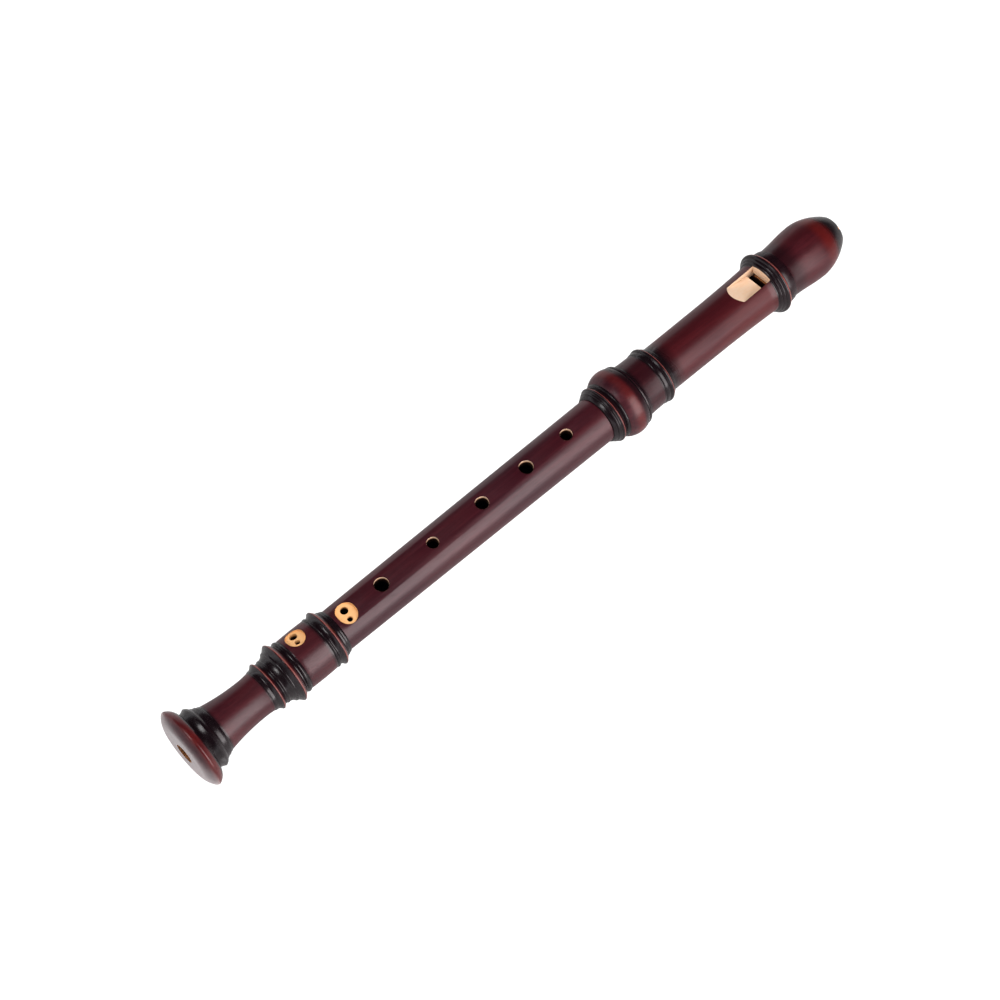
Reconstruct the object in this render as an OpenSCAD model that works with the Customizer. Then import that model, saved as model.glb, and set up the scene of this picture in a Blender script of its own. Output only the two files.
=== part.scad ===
// Soprano recorder in three joints, lying along +X from the foot end to the beak.
// The bore axis is the X axis, the finger holes face +Z, and x = 0 is the foot's end face.

/* [Lengths] */
// Foot joint, end face to top edge
foot_length = 68.3; // [68:0.1:69]
// Middle joint that shows between the foot and the head
middle_length = 128.7; // [127:0.1:131]
// Head joint, lower edge to the tip of the beak
head_length = 129.3; // [129.3:0.1:129.8]

/* [Turned outline] */
// Radius of the bell's rim
bell_radius = 15.8; // [15:0.1:16.5]
// Radius of the foot's waist
waist_radius = 7.85; // [7.4:0.05:8.4]
// Radius of the foot's barrel at its ends
barrel_radius = 10.3; // [10.1:0.05:10.5]
// Radius of the middle joint where it meets the foot
tube_foot_radius = 8.45; // [8.3:0.05:8.7]
// Radius of the middle joint where it meets the head
tube_head_radius = 9.3; // [9.1:0.05:9.5]
// How far the socket bulge swells past its two edges
bulge_swell = 1.3; // [1:0.1:1.6]
// Radius of the beak at its fullest
beak_radius = 12.1; // [11.8:0.1:12.4]

/* [Bore] */
// Radius of the cylindrical head bore
head_bore_radius = 5.9; // [5.7:0.1:6]
// Radius of the tapering bore at the foot end of the middle joint
middle_bore_end_radius = 4.5; // [4.2:0.1:4.8]
// Radius of the straight bore at the foot's end
foot_bore_radius = 3.9; // [3.6:0.1:4.1]
// Length of the straight bore at the foot's end
foot_bore_length = 22; // [15:1:30]

/* [Tenons] */
// Length of the upper tenon
upper_tenon_length = 21; // [19:0.5:22]
// Radius of the upper tenon
upper_tenon_radius = 7.9; // [7.7:0.1:8]
// Length of the lower tenon
lower_tenon_length = 12; // [10:0.5:12]
// Radius of the lower tenon
lower_tenon_radius = 7.15; // [7:0.05:7.2]

/* [Voicing] */
// Width of the window
window_width = 9.4; // [9.2:0.1:10]
// Labium edge to windway exit
cut_up = 3; // [2.8:0.1:3.4]
// Length of the labium ramp
ramp_length = 13.6; // [12:0.1:15]
// Width of the windway
windway_width = 9; // [8.6:0.1:9.1]
// Height of the windway
windway_height = 1; // [0.8:0.1:1.2]

/* [Holes] */
// Diameters of finger holes 1 to 5, from the head down
finger_hole_diameters = [4.8, 5.5, 5.2, 4.6, 5.6]; // [4:0.1:6]
// Diameter of the thumb hole
thumb_hole_diameter = 5.2; // [4.8:0.1:5.6]
// Diameter of the larger hole of each double hole
large_twin_diameter = 3; // [2.6:0.1:3.1]
// Diameter of the smaller hole of each double hole
small_twin_diameter = 2.1; // [1.8:0.1:2.2]
// Length along the bore of the milled pockets of holes 6 and 7
pocket_lengths = [7.5, 7.1]; // [7:0.1:8]
// Width across the bore of the milled pockets of holes 6 and 7
pocket_widths = [8.6, 8.1]; // [8:0.1:8.8]

/* [Assembly] */
// How far the foot is turned on its tenon, in degrees
foot_turn = -25.5; // [-30:0.5:0]
// How far the head is turned on its tenon, in degrees
head_turn = -6.3; // [-10:0.1:10]

/* [Hidden] */
$fn = 96;

stained = [0.27, 0.09, 0.07];
cork_brown = [0.72, 0.53, 0.36];
cedar = [0.78, 0.5, 0.33];

head_x = foot_length + middle_length;
over = 1;                        // how far a cutter runs past a face
shoulder_gap = 0.05;             // each socket's edge to the tube's shoulder
tenon_end_gap = 0.4;             // each tenon's end to the bottom of its socket
cork_gap = 0.02;                 // cork to tenon, radially
socket_gap = 0.03;               // cork to socket, radially
cork_thickness = 0.7;
cork_proud = 0.15;               // how far the cork stands out past the tenon

upper_cork_radius = upper_tenon_radius + cork_proud;
upper_cork_start = 3;            // from the shoulder
upper_cork_length = 14;
upper_socket_radius = upper_cork_radius + socket_gap;
upper_socket_depth = upper_tenon_length + tenon_end_gap;

lower_cork_radius = lower_tenon_radius + cork_proud;
lower_cork_start = 2;
lower_cork_length = 8;
lower_socket_radius = lower_cork_radius + socket_gap;
lower_socket_depth = lower_tenon_length + tenon_end_gap;

// Heights above the bore axis, in the head's own turn
labium_height = head_bore_radius + 0.1;
labium_underside = head_bore_radius - 0.15;
windway_roof = head_bore_radius + 0.3;
windway_floor = windway_roof - windway_height;
ramp_top = 9.95;
ramp_hollow = 0.6;               // how far the ramp dips below a straight line
window_end = 88.4;               // from the head's lower edge to the window's end wall
labium_edge = window_end - cut_up;
block_gap = 0.03;                // block to bore, all round

// The beak's underside: two ends of the cut and how hollow it is
cut_tip = [head_length, 1.4];
cut_heel = [100, -11.2];
cut_hollow = 0.8;

// Distances of holes 1 to 5 and of the thumb hole from the foot's end
finger_hole_places = [180.4, 160.2, 138.3, 114.4, 90];
thumb_hole_place = 189.5;
pocket_6 = [73.65, 7.2];         // place along the bore, height of the floor
twins_6 = [[0.15, -1.5, large_twin_diameter], [-0.35, 2.3, small_twin_diameter]];
pocket_7 = [53.8, 9.25];
twins_7 = [[0.1, -1.8, large_twin_diameter], [-0.4, 1.6, small_twin_diameter]];

// Points of the arc between a and b that rises by rise to the left of the line from a to b
function arc(a, b, rise, steps = 10) =
    let (run = b - a,
         span = norm(run),
         side = [-run[1], run[0]] / span,
         radius = (span * span / 4 + rise * rise) / (2 * abs(rise)))
    [for (i = [0 : steps])
        let (along = (i / steps - 0.5) * span,
             lift = sqrt(max(0, radius * radius - along * along)) - (radius - abs(rise)))
        a + run * (i / steps) + side * lift * sign(rise)];

// Joins lists of points, dropping a point that repeats the one before it
function joined(lists) =
    let (all = [for (list = lists) each list])
    [for (i = [0 : len(all) - 1]) if (i == 0 || norm(all[i] - all[i - 1]) > 0.001) all[i]];

// Outer outline of the foot, as [distance along the bore, radius]
foot_outline = joined([
    // bell rim and its groove
    arc([0, 9.6], [2.2, bell_radius - 0.33], 0.6),
    arc([2.2, bell_radius - 0.33], [3.4, bell_radius - 0.1], 0.2, 6),
    arc([3.4, bell_radius - 0.1], [6, 13], 0.33),
    [[6.2, 11.6]],
    arc([6.4, 11.45], [8.8, 12.3], -0.15, 5),
    arc([8.8, 12.3], [10.4, 11.1], 0.2, 5),
    [[10.6, 10.9], [11, 10.8], [11.1, 10.5], [12.4, 10.2], [12.5, 9.9], [13.5, 9.65], [13.7, 9.4]],
    // cove down to the waist and out again
    arc([13.7, 9.4], [29, waist_radius], -0.36, 14),
    arc([29, waist_radius], [34.1, 8.15], -0.1, 6),
    // first ring
    [[34.2, 8.35], [35.3, 8.5], [35.4, 8.45]],
    arc([35.5, 8.5], [36.8, 9.65], -0.06, 4),
    arc([36.8, 9.65], [37.2, 9.65], 0.06, 4),
    [[38.3, 8.5]],
    arc([38.5, 8.65], [39, 8.7], 0.1, 4),
    arc([39.2, 8.9], [39.8, 9.05], 0.12, 4),
    arc([40, 8.95], [41.9, 9.85], -0.12, 6),
    arc([42, 10.1], [42.7, 10.5], 0.12, 4),
    // second ring and the bead behind it
    arc([42.8, 10.45], [44.4, 12], -0.05, 5),
    arc([44.4, 12], [44.9, 11.95], 0.08, 4),
    [[46.6, 10.15], [47, 10.1]],
    arc([47.1, 10.2], [48.7, 10.25], 0.5, 8),
    [[48.9, 10.15]],
    // barrel
    arc([49.2, barrel_radius], [60.8, barrel_radius], 0.12, 8),
    [[60.9, 10.1]],
    arc([61.05, 10.25], [62, 10.25], 0.3, 6),
    [[62.2, 10.1], [62.8, 10.15]],
    // third ring and the steps down to the top edge
    arc([62.9, 10.2], [64.1, 11.25], -0.1, 5),
    arc([64.1, 11.25], [64.6, 11.2], 0.08, 4),
    [[65.9, 9.8], [66, 9.5]],
    arc([66.1, 9.45], [67.1, 9.3], 0.12, 4),
    arc([67.2, 9.05], [foot_length - shoulder_gap, 8.8], 0.1, 4)
]);

// Outer outline of the head from its lower edge to the tip of the beak
head_outline = joined([
    // lower edge, with fine grooves up to the ring
    [[0, 9.7], [0.15, 9.95], [1.25, 10.65], [1.4, 10.5]],
    arc([1.5, 10.8], [2.05, 11.1], 0.08, 4),
    arc([2.2, 11.2], [2.7, 11.5], 0.08, 4),
    [[2.8, 11.4]],
    arc([2.9, 11.65], [3.9, 11.7], 0.3, 6),
    [[4.9, 11.3], [5.3, 11.1]],
    arc([5.5, 11.5], [6.2, 11.9], 0.12, 4),
    [[6.35, 11.75]],
    // socket bulge and its bead
    arc([6.5, 12.1], [15.2, 13.15], bulge_swell, 18),
    [[15.3, 12.85]],
    arc([15.45, 13.05], [16.5, 12.95], 0.12, 4),
    [[16.75, 11.65]],
    // barrel
    arc([16.9, 11.55], [26, 11.2], -0.1, 8),
    [[26.1, 11.05]],
    // collar
    arc([26.2, 11.2], [28, 11.45], 0.15, 6),
    [[28.2, 11.3]],
    arc([28.4, 11.45], [29.9, 11.55], 0.4, 8),
    [[30.1, 11.2]],
    arc([30.2, 11.2], [31, 10.7], 0.12, 4),
    [[31.15, 10.4]],
    arc([31.25, 10.45], [32.2, 9.9], 0.1, 4),
    [[32.3, 9.7]],
    // tube, flaring towards the window
    arc([32.5, 9.65], [55, 9.75], -0.02, 4),
    arc([55, 9.75], [87.7, 10.5], -0.18, 12),
    // ring beside the window
    [[87.9, 10.65], [88.3, 10.75], [88.4, 10.6]],
    arc([88.5, 10.9], [89.4, 11.6], 0.1, 4),
    [[89.5, 11.45]],
    arc([89.7, 11.8], [90.5, 12.4], 0.1, 4),
    [[90.6, 12.3]],
    arc([90.8, 12.65], [92.4, 13.05], 0.45, 8),
    arc([92.4, 13.05], [93.3, 11.85], -0.1, 4),
    [[93.45, 11.55]],
    arc([93.6, 11.6], [97, 11.5], 0.16, 6),
    // beak
    [[97.1, 11]],
    arc([97.3, 10.95], [107, 11.6], -0.14, 8),
    arc([107, 11.6], [114.2, beak_radius], 0.08, 6),
    arc([114.2, beak_radius], [118, beak_radius - 0.37], 0.08, 5),
    arc([118, beak_radius - 0.37], [128.7, 6.9], 0.66, 14),
    arc([128.7, 6.9], [head_length, 3.2], 0.5, 8)
]);

// A solid of revolution about the X axis, starting at x = start, closed down to the axis
module turned(outline, start = 0) {
    translate([start, 0, 0])
        rotate([0, 90, 0])
            rotate_extrude()
                polygon(concat(
                    [[0, outline[0][0]]],
                    [for (p = outline) [p[1], p[0]]],
                    [[0, outline[len(outline) - 1][0]]]));
}

// A round bar along the bore axis between two distances, straight or tapering
module bar(from, to, r_from, r_to) {
    translate([from, 0, 0])
        rotate([0, 90, 0])
            cylinder(h = to - from, r1 = r_from, r2 = r_to);
}

// A drilled hole that leaves the bore along +Z
module drilled(place, diameter, aside = 0) {
    translate([place, aside, 0])
        cylinder(h = bell_radius, d = diameter);
}

// A round-ended pocket that lies across the bore, with its pair of holes
module double_hole(pocket, length, width, twins) {
    reach = (width - length) / 2;
    translate([pocket[0], 0, pocket[1]]) {
        for (side = [-reach, reach])
            translate([0, side, 0])
                cylinder(h = bell_radius, d = length);
        translate([-length / 2, -reach, 0])
            cube([length, 2 * reach, bell_radius]);
    }
    for (twin = twins)
        drilled(pocket[0] + twin[0], twin[2], -twin[1]);
}

module foot_joint() {
    socket_x = foot_length - lower_socket_depth;
    color(stained)
        rotate([foot_turn, 0, 0])
            difference() {
                turned(foot_outline);
                bar(-over, foot_bore_length, foot_bore_radius, foot_bore_radius);
                bar(foot_bore_length, socket_x, foot_bore_radius, middle_bore_end_radius);
                bar(socket_x, foot_length + over, lower_socket_radius, lower_socket_radius);
                double_hole(pocket_7, pocket_lengths[1], pocket_widths[1], twins_7);
            }
}

module lower_tenon_cork() {
    cork_x = foot_length - lower_cork_start - lower_cork_length;
    inner = lower_cork_radius - cork_thickness + cork_gap;
    color(cork_brown)
        difference() {
            bar(cork_x, cork_x + lower_cork_length, lower_cork_radius, lower_cork_radius);
            bar(cork_x - over, cork_x + lower_cork_length + over, inner, inner);
        }
}

// The recess for a cork, cut round a tenon
module cork_recess(from, to, tenon_radius, floor_radius) {
    difference() {
        bar(from, to, tenon_radius + over, tenon_radius + over);
        bar(from - over, to + over, floor_radius, floor_radius);
    }
}

module middle_joint() {
    lower_end = foot_length - lower_tenon_length;
    upper_end = head_x + upper_tenon_length;
    lower_cork_x = foot_length - lower_cork_start - lower_cork_length - cork_gap;
    upper_cork_x = head_x + upper_cork_start - cork_gap;
    color(stained)
        difference() {
            union() {
                bar(lower_end, foot_length + over, lower_tenon_radius, lower_tenon_radius);
                bar(foot_length, head_x, tube_foot_radius, tube_head_radius);
                bar(head_x - over, upper_end, upper_tenon_radius, upper_tenon_radius);
            }
            cork_recess(lower_cork_x, lower_cork_x + lower_cork_length + 2 * cork_gap,
                lower_tenon_radius, lower_cork_radius - cork_thickness);
            cork_recess(upper_cork_x, upper_cork_x + upper_cork_length + 2 * cork_gap,
                upper_tenon_radius, upper_cork_radius - cork_thickness);
            bar(lower_end, upper_end, middle_bore_end_radius, head_bore_radius);
            bar(lower_end - over, lower_end + 0.01, middle_bore_end_radius, middle_bore_end_radius);
            bar(upper_end - 0.01, upper_end + over, head_bore_radius, head_bore_radius);
            for (i = [0 : len(finger_hole_places) - 1])
                drilled(finger_hole_places[i], finger_hole_diameters[i]);
            double_hole(pocket_6, pocket_lengths[0], pocket_widths[0], twins_6);
            rotate([180, 0, 0])
                drilled(thumb_hole_place, thumb_hole_diameter);
        }
}

module upper_tenon_cork() {
    cork_x = head_x + upper_cork_start;
    inner = upper_cork_radius - cork_thickness + cork_gap;
    color(cork_brown)
        difference() {
            bar(cork_x, cork_x + upper_cork_length, upper_cork_radius, upper_cork_radius);
            bar(cork_x - over, cork_x + upper_cork_length + over, inner, inner);
        }
}

// A bar of rectangular section along the bore, centred across it
module slab(from, to, width, low, high) {
    translate([from, -width / 2, low])
        cube([to - from, width, high - low]);
}

// Radius of the arc through a and b that is hollow by that much at its middle
function hollow_radius(a, b, hollow) =
    let (half = norm(b - a) / 2)
    (half * half + hollow * hollow) / (2 * hollow);

// A large round cutter lying across the head, on the right of the line from a to b
module hollow_cutter(a, b, hollow, width) {
    run = b - a;
    radius = hollow_radius(a, b, hollow);
    centre = (a + b) / 2 + [run[1], -run[0]] / norm(run) * (radius - hollow);
    translate([centre[0], 0, centre[1]])
        rotate([90, 0, 0])
            cylinder(h = width, r = radius, center = true, $fn = 360);
}

// The hollow cut under the beak
module beak_cutter() {
    hollow_cutter(cut_heel, cut_tip, cut_hollow, 4 * beak_radius);
}

// The ramp that falls to the labium's edge
module ramp_cutter() {
    ramp_start = [labium_edge - ramp_length, ramp_top];
    intersection() {
        hollow_cutter([labium_edge, labium_height], ramp_start, ramp_hollow, window_width);
        slab(labium_edge - 2 * ramp_length, labium_edge, 2 * window_width,
            labium_height - over, bell_radius);
    }
}

module head_joint() {
    color(stained)
        translate([head_x + shoulder_gap, 0, 0])
            rotate([head_turn, 0, 0])
                difference() {
                    turned(head_outline);
                    bar(-over, upper_socket_depth, upper_socket_radius, upper_socket_radius);
                    bar(0, head_length + over, head_bore_radius, head_bore_radius);
                    slab(window_end, head_length + over, windway_width, 0, windway_roof);
                    slab(labium_edge, window_end, window_width, 0, bell_radius);
                    slab(labium_edge - 5, labium_edge, window_width, 0, labium_underside);
                    ramp_cutter();
                    beak_cutter();
                }
}

module block() {
    start = window_end;
    color(cedar)
        translate([head_x + shoulder_gap, 0, 0])
            rotate([head_turn, 0, 0])
                difference() {
                    intersection() {
                        union() {
                            bar(start, head_length + over, head_bore_radius - block_gap,
                                head_bore_radius - block_gap);
                            slab(start, head_length + over, windway_width - 2 * block_gap,
                                0, windway_floor);
                        }
                        turned(head_outline);
                    }
                    slab(start - over, head_length + over, 2 * beak_radius,
                        windway_floor, beak_radius);
                    beak_cutter();
                }
}

foot_joint();
lower_tenon_cork();
middle_joint();
upper_tenon_cork();
head_joint();
block();
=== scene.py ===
"""Soprano recorder in stained wood: the looks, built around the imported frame.

Every length in the piece makers is in millimetres, with the bore along X. A finished mesh is
brought to metres, and each object sits at the origin with its place in its mesh.
"""
from math import atan2, cos, hypot, pi, radians, sin, sqrt, tau

import bmesh
import bpy
from mathutils import Matrix, Vector


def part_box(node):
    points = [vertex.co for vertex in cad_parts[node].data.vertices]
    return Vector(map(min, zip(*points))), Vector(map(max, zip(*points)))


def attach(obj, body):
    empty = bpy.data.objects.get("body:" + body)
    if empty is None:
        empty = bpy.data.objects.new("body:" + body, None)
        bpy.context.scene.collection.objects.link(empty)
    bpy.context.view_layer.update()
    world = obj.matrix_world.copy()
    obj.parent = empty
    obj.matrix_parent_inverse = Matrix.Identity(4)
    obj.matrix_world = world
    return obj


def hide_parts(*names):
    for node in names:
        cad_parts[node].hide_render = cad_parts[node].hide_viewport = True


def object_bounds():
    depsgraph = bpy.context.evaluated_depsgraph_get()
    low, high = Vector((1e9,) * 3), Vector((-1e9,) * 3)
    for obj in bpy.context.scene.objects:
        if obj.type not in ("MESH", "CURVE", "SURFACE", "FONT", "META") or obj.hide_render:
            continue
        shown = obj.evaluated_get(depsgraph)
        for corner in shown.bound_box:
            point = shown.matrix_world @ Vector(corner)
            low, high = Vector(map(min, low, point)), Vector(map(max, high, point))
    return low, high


bl_info = {
    "name": "Soprano Recorder",
    "version": (1, 0, 0),
    "blender": (4, 5, 0),
    "location": "View3D > Sidebar > Recorder",
    "description": "Builds the looks of a wooden soprano recorder around its packed frame",
    "category": "Object",
}

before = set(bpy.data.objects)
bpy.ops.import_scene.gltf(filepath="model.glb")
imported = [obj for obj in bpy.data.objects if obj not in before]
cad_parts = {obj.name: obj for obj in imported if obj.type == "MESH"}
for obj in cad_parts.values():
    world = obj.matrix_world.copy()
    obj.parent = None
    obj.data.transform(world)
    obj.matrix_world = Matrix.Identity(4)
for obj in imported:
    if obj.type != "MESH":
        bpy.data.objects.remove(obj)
cad_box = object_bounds()

MM = 0.001
AROUND = 160                       # steps in a full turn of the lathe
WELD, SLIVER = 0.004, 0.002        # points and edges closer than this are merged after cutting
BORE_SLACK = 0.08                  # how far a face of the bore may lie outside its line
CREASE = radians(38)               # edges sharper than this stay crisp
STAINED, PALE, BORE = 0, 1, 2      # order of the finishes on a joint

FOOT_TOP = 68.3                    # where the foot meets the middle joint
FOOT_LIP = 68.25                   # the foot's top edge, just clear of it
SHOULDER = 197.0                   # the middle joint's upper shoulder
TUBE_FOOT, TUBE_HEAD = 8.45, 9.3   # radii of the middle joint beside the foot and the head
TUBE_CHAMFER = 0.12
HEAD_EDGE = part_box("head_joint")[0].x / MM
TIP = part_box("head_joint")[1].x / MM
NEAR_TIP = 128                     # from the head's lower edge: past this the beak rounds over

UPPER_TENON, UPPER_TENON_LENGTH, UPPER_SOCKET_DEPTH = 7.9, 21.0, 21.4
LOWER_TENON, LOWER_TENON_LENGTH, LOWER_SOCKET_DEPTH = 7.15, 12.0, 12.4
TENON_CHAMFER = 0.3
UPPER_CORK = (SHOULDER + 3, SHOULDER + 17)
LOWER_CORK = (FOOT_TOP - 2 - 8, FOOT_TOP - 2)
CORK_PROUD = 0.15
CORK_THICK = 0.7
CORK_GAP = 0.02
SOCKET_GAP = 0.03
HEAD_BORE = 5.9
MIDDLE_END_BORE = 4.5
FOOT_BORE, FOOT_BORE_LENGTH = 3.9, 22.0
REACH = 20.0                       # cutters run this far out from the bore axis

# The voicing, in the head's own turn and from its lower edge
WINDOW_WIDTH = 9.4
WINDOW_END = 88.4
LABIUM_EDGE = 85.4
LABIUM_HEIGHT = 6.0
LABIUM_UNDERSIDE = 5.75
RAMP_LENGTH = 13.6
RAMP_TOP = 9.95
RAMP_HOLLOW = 0.6
WINDWAY_WIDTH = 9.0
WINDWAY_ROOF = 6.2
WINDWAY_FLOOR = 5.2
LABIUM_UNDERCUT = 5.0              # how far back from its edge the labium is thinned from below
SCOOP_START = (100, -11.2)         # the hollow under the beak, up to the tip
SCOOP_END_HEIGHT = 1.4
SCOOP_HOLLOW = 0.8
BLOCK_GAP = 0.03
BLOCK_CHAMFER = 0.15

# Finger holes 1 to 5 as (place along the bore, diameter), and the thumb hole
FINGER_HOLES = ((180.4, 4.8), (160.2, 5.5), (138.3, 5.2), (114.4, 4.6), (90.0, 5.6))
THUMB_HOLE = (189.5, 5.2)
# Milled pockets as (place, height of the floor, length along the bore, width across it)
POCKET_6 = (73.65, 7.2, 7.5, 8.6)
POCKET_7 = (53.8, 9.25, 7.1, 8.1)
# The holes in each pocket as (along, across, diameter)
TWINS_6 = ((0.15, 1.5, 3.0), (-0.35, -2.3, 2.1))
TWINS_7 = ((0.1, 1.8, 3.0), (-0.4, -1.6, 2.1))

# The stage, in metres: the camera stands back from the bell, turned about the bore from straight
# above, aimed towards the beak and rolled so that the recorder lies across the view
FLOOR_GAP = 0.0002
FLOOR_MIDDLE, FLOOR_REACH = 0.15, 4.0
CAMERA_ALONG, CAMERA_ASIDE = -0.1054, 0.00045
CAMERA_TILT, CAMERA_AIM, CAMERA_ROLL = radians(19.2), radians(19.5), atan2(0.6290, 0.7774)


# ---------------------------------------------------------------- sizes and colours

class RecorderSizes(bpy.types.PropertyGroup):
    """Turns, widths and the camera, that a user may change"""
    foot_turn: bpy.props.FloatProperty(
        name="Foot turn", description="How far the foot is turned on its tenon",
        default=radians(-25.5), subtype="ANGLE", unit="ROTATION")
    head_turn: bpy.props.FloatProperty(
        name="Head turn", description="How far the head is turned on its tenon",
        default=radians(-6.3), subtype="ANGLE", unit="ROTATION")
    rim_width: bpy.props.FloatProperty(
        name="Hole rim", description="Width of the softened rim round each cut",
        default=0.00013, min=0.00005, max=0.0004, subtype="DISTANCE", unit="LENGTH")
    scorch_width: bpy.props.FloatProperty(
        name="Scorched outline", description="Width of the dark outline round each pale cut",
        default=0.00035, min=0.0001, max=0.001, subtype="DISTANCE", unit="LENGTH")
    grain_height: bpy.props.FloatProperty(
        name="Grain height", description="Depth of the open grain in the stained wood",
        default=0.00003, min=0.0, max=0.0002, subtype="DISTANCE", unit="LENGTH")
    camera_distance: bpy.props.FloatProperty(
        name="Camera distance", description="From the bore axis to the camera, square to the axis",
        default=0.7135, min=0.3, max=3.0, subtype="DISTANCE", unit="LENGTH")
    lens: bpy.props.FloatProperty(
        name="Lens", description="Focal length in millimetres on a 36 mm wide sensor",
        default=74.34, min=20, max=200)


class RecorderColours(bpy.types.PropertyGroup):
    """Colours of the stain, the cut wood, the cork and the cedar"""
    stain: bpy.props.FloatVectorProperty(
        name="Stain", description="Main colour of the stained wood",
        default=(0.037, 0.0057, 0.0115), subtype="COLOR", size=3, min=0, max=1)
    stain_light: bpy.props.FloatVectorProperty(
        name="Light grain", description="Lighter streaks in the stained wood",
        default=(0.085, 0.0150, 0.0225), subtype="COLOR", size=3, min=0, max=1)
    stain_red: bpy.props.FloatVectorProperty(
        name="Worn red", description="Crests and the warmer parts, where the stain is thin",
        default=(0.150, 0.015, 0.0105), subtype="COLOR", size=3, min=0, max=1)
    # crests worn through the stain, whose pale lines also stand in as a painted highlight
    bare_and_highlight: bpy.props.FloatVectorProperty(
        name="Bare crests", description="Thin lines where the crests are worn through the stain",
        default=(0.50, 0.20, 0.17), subtype="COLOR", size=3, min=0, max=1)
    ebony: bpy.props.FloatVectorProperty(
        name="Blackened rings", description="Dark finish in the grooves and beads",
        default=(0.0085, 0.0055, 0.0075), subtype="COLOR", size=3, min=0, max=1)
    pale_wood: bpy.props.FloatVectorProperty(
        name="Pale wood", description="Freshly cut wood at the window and the holes",
        default=(0.81, 0.615, 0.46), subtype="COLOR", size=3, min=0, max=1)
    pale_grain: bpy.props.FloatVectorProperty(
        name="Pale grain", description="Darker lines in the freshly cut wood",
        default=(0.80, 0.54, 0.335), subtype="COLOR", size=3, min=0, max=1)
    pocket_wood: bpy.props.FloatVectorProperty(
        name="Pocket wood", description="Warmer cut wood in the pockets of the double holes",
        default=(0.80, 0.46, 0.205), subtype="COLOR", size=3, min=0, max=1)
    # the dark of the scorched outlines, also used for the painted shade on the block
    scorch_and_shade: bpy.props.FloatVectorProperty(
        name="Scorch", description="Dark outline round the pale cuts",
        default=(0.020, 0.007, 0.005), subtype="COLOR", size=3, min=0, max=1)
    # dark oiled wood, and the painted shade deep in the bore and in the hole walls
    bore_oil_and_shade: bpy.props.FloatVectorProperty(
        name="Bore shade", description="Oiled wood deep inside the bore",
        default=(0.018, 0.0075, 0.004), subtype="COLOR", size=3, min=0, max=1)
    bore_wood: bpy.props.FloatVectorProperty(
        name="Bore wood", description="Oiled wood at the mouth of the bore",
        default=(0.42, 0.20, 0.085), subtype="COLOR", size=3, min=0, max=1)
    cork: bpy.props.FloatVectorProperty(
        name="Cork", description="Main colour of the tenon corks",
        default=(0.46, 0.27, 0.13), subtype="COLOR", size=3, min=0, max=1)
    cedar: bpy.props.FloatVectorProperty(
        name="Cedar", description="Main colour of the block",
        default=(0.62, 0.27, 0.11), subtype="COLOR", size=3, min=0, max=1)


# ---------------------------------------------------------------- shader building

class Value:
    """An output socket. Arithmetic on it adds Math nodes to its material."""

    def __init__(self, finish, socket):
        self.finish, self.socket = finish, socket

    def math(self, operation, *others):
        """This value and the others through one Math node."""
        return self.finish.node("Math", {"operation": operation}, dict(enumerate((self, *others))))

    def flipped(self, operation, other):
        """The same with this value second."""
        return self.finish.node("Math", {"operation": operation}, {0: other, 1: self})

    def __add__(self, other):
        return self.math("ADD", other)

    def __sub__(self, other):
        return self.math("SUBTRACT", other)

    def __rsub__(self, other):
        return self.flipped("SUBTRACT", other)

    def __mul__(self, other):
        return self.math("MULTIPLY", other)

    def __truediv__(self, other):
        return self.math("DIVIDE", other)

    def __pow__(self, other):
        return self.math("POWER", other)

    def __abs__(self):
        return self.math("ABSOLUTE")

    __radd__, __rmul__ = __add__, __mul__


class Finish:
    """One procedural material on Object coordinates, in metres."""

    def __init__(self, name, owner=None):
        self.material = owner or bpy.data.materials.new(name)
        self.material.use_nodes = True
        self.tree = self.material.node_tree
        self.tree.nodes.clear()
        self.place = self.node("TexCoord", output="Object")

    def node(self, kind, settings=None, inputs=None, output=0):
        """Adds a node, its settings first and then its sockets, and gives back one output."""
        made = self.tree.nodes.new("ShaderNode" + kind)
        for key, value in (settings or {}).items():
            setattr(made, key, value)
        for key, value in (inputs or {}).items():
            if isinstance(value, Value):
                self.tree.links.new(value.socket, made.inputs[key])
            else:
                made.inputs[key].default_value = value
        return Value(self, made.outputs[output]) if made.outputs else None

    def turned(self, angle):
        """x, y and z about the bore axis, as seen by a joint turned by that angle."""
        spun = self.node("VectorRotate", {"rotation_type": "X_AXIS"},
                         {"Vector": self.place, "Angle": -angle})
        return [self.node("SeparateXYZ", inputs={0: spun}, output=i) for i in range(3)]

    def noise(self, scale, detail, roughness, shift=(0, 0, 0)):
        """Noise with about that many blotches to the metre along x, y and z."""
        stretched = self.node("Mapping", inputs={"Vector": self.place, "Scale": scale,
                                                 "Location": shift})
        return self.node("TexNoise", inputs={"Vector": stretched, "Scale": 1.0,
                                             "Detail": detail, "Roughness": roughness})

    def step(self, value, low, high, start=0.0, end=1.0):
        """Goes smoothly from start at low to end at high."""
        return self.node("MapRange", {"interpolation_type": "SMOOTHSTEP"},
                         {"Value": value, "From Min": low, "From Max": high,
                          "To Min": start, "To Max": end})

    def mix(self, factor, first, second):
        """Goes from the first colour at 0 to the second at 1."""
        sockets = {0: factor}
        for index, colour in ((6, first), (7, second)):
            sockets[index] = colour if isinstance(colour, Value) else (*colour, 1.0)
        return self.node("Mix", {"data_type": "RGBA"}, sockets, output=2)

    def attribute(self, name):
        """A number kept at the points of the mesh."""
        return self.node("Attribute", {"attribute_name": name}, output="Fac")

    def bump(self, height, distance, strength):
        """A normal raised by height, where distance is the depth in metres."""
        return self.node("Bump", inputs={"Height": height, "Distance": distance,
                                         "Strength": strength})

    def surface(self, **sockets):
        """Ends the finish in a Principled shader with those sockets."""
        names = {key.replace("_", " ").title().replace("Ior", "IOR"): value
                 for key, value in sockets.items()}
        shader = self.node("BsdfPrincipled", inputs=names)
        self.node("OutputMaterial", inputs={"Surface": shader})
        return self.material


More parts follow.
